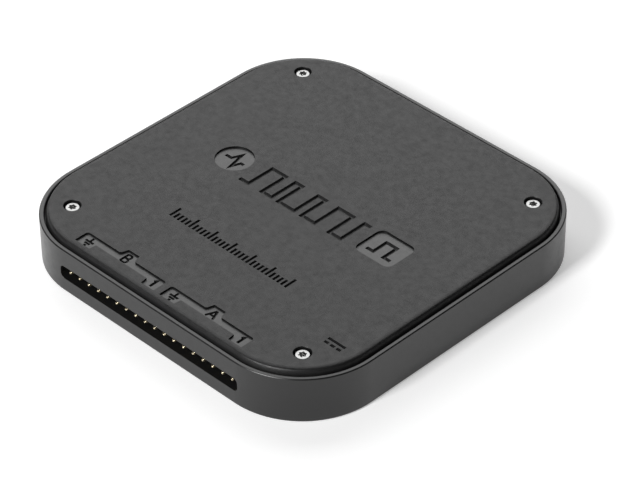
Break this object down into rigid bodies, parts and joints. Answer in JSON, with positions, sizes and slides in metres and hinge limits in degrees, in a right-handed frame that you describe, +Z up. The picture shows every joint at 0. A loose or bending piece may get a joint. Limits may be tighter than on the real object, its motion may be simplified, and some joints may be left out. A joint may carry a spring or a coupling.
{
  "type": "logic analyzer",
  "caption": "Flat square metal box with a screwed-on cover, a slot of gold probe pins along one side, and a USB socket and status light at the back.",
  "frame": {"origin": "centre of the underside, on the surface that the box stands on", "axes": "+Z up through the cover; the slot with the probe pins faces -Y and the USB socket faces +Y; +X to the right when looking at the slot"},
  "size_m": [0.08, 0.08, 0.0108],
  "materials": {
    "anodised_case": "fine bead-blasted dark grey anodised, matte",
    "screw_steel": "bright nickel-plated",
    "bright_steel": "tin-plated sheet",
    "gold_plate": "gold-plated, smooth",
    "black_plastic": "moulded, satin",
    "circuit_board": "green solder mask",
    "chip_epoxy": "moulded epoxy, matte",
    "capacitor_case": "moulded, satin",
    "led_body": "moulded, gloss",
    "clear_plastic": "clear, polished"
  },
  "bodies": {
    "housing": {"housing": "anodised_case", "board_screw_front_left": "screw_steel", "board_screw_front_right": "screw_steel", "board_screw_rear_left": "screw_steel", "board_screw_rear_right": "screw_steel", "circuit_board": "circuit_board", "crystal": "bright_steel", "header_a_body": "black_plastic", "header_a_pin_1": "gold_plate", "header_a_pin_2": "gold_plate", "header_a_pin_3": "gold_plate", "header_a_pin_4": "gold_plate", "header_a_pin_5": "gold_plate", "header_a_pin_6": "gold_plate", "header_a_pin_7": "gold_plate", "header_a_pin_8": "gold_plate", "header_a_pin_ground": "gold_plate", "header_b_body": "black_plastic", "header_b_pin_1": "gold_plate", "header_b_pin_2": "gold_plate", "header_b_pin_3": "gold_plate", "header_b_pin_4": "gold_plate", "header_b_pin_5": "gold_plate", "header_b_pin_6": "gold_plate", "header_b_pin_7": "gold_plate", "header_b_pin_8": "gold_plate", "header_b_pin_ground": "gold_plate", "input_capacitor": "capacitor_case", "input_protection_1": "chip_epoxy", "input_protection_2": "chip_epoxy", "input_protection_3": "chip_epoxy", "input_protection_4": "chip_epoxy", "light_pipe": "clear_plastic", "logic_chip": "chip_epoxy", "memory_chip": "chip_epoxy", "output_capacitor": "capacitor_case", "power_coil": "black_plastic", "regulator_core": "chip_epoxy", "regulator_io": "chip_epoxy", "status_led": "led_body", "usb_contact_1": "gold_plate", "usb_contact_2": "gold_plate", "usb_contact_3": "gold_plate", "usb_contact_4": "gold_plate", "usb_contact_5": "gold_plate", "usb_controller_chip": "chip_epoxy", "usb_insulator": "black_plastic", "usb_shell": "bright_steel"},
    "cover": {"cover": "anodised_case"},
    "cover_screw_front_left": {"cover_screw_front_left": "screw_steel"},
    "cover_screw_front_right": {"cover_screw_front_right": "screw_steel"},
    "cover_screw_rear_left": {"cover_screw_rear_left": "screw_steel"},
    "cover_screw_rear_right": {"cover_screw_rear_right": "screw_steel"}
  },
  "joints": [
    {"name": "cover_lift", "type": "slide", "parent": "housing", "child": "cover", "axis": [0, 0, 1], "range_m": [0, 0.03]},
    {"name": "unscrew_front_left", "type": "slide", "parent": "cover", "child": "cover_screw_front_left", "axis": [0, 0, 1], "range_m": [0, 0.005]},
    {"name": "unscrew_front_right", "type": "slide", "parent": "cover", "child": "cover_screw_front_right", "axis": [0, 0, 1], "range_m": [0, 0.005]},
    {"name": "unscrew_rear_left", "type": "slide", "parent": "cover", "child": "cover_screw_rear_left", "axis": [0, 0, 1], "range_m": [0, 0.005]},
    {"name": "unscrew_rear_right", "type": "slide", "parent": "cover", "child": "cover_screw_rear_right", "axis": [0, 0, 1], "range_m": [0, 0.005]}
  ]
}
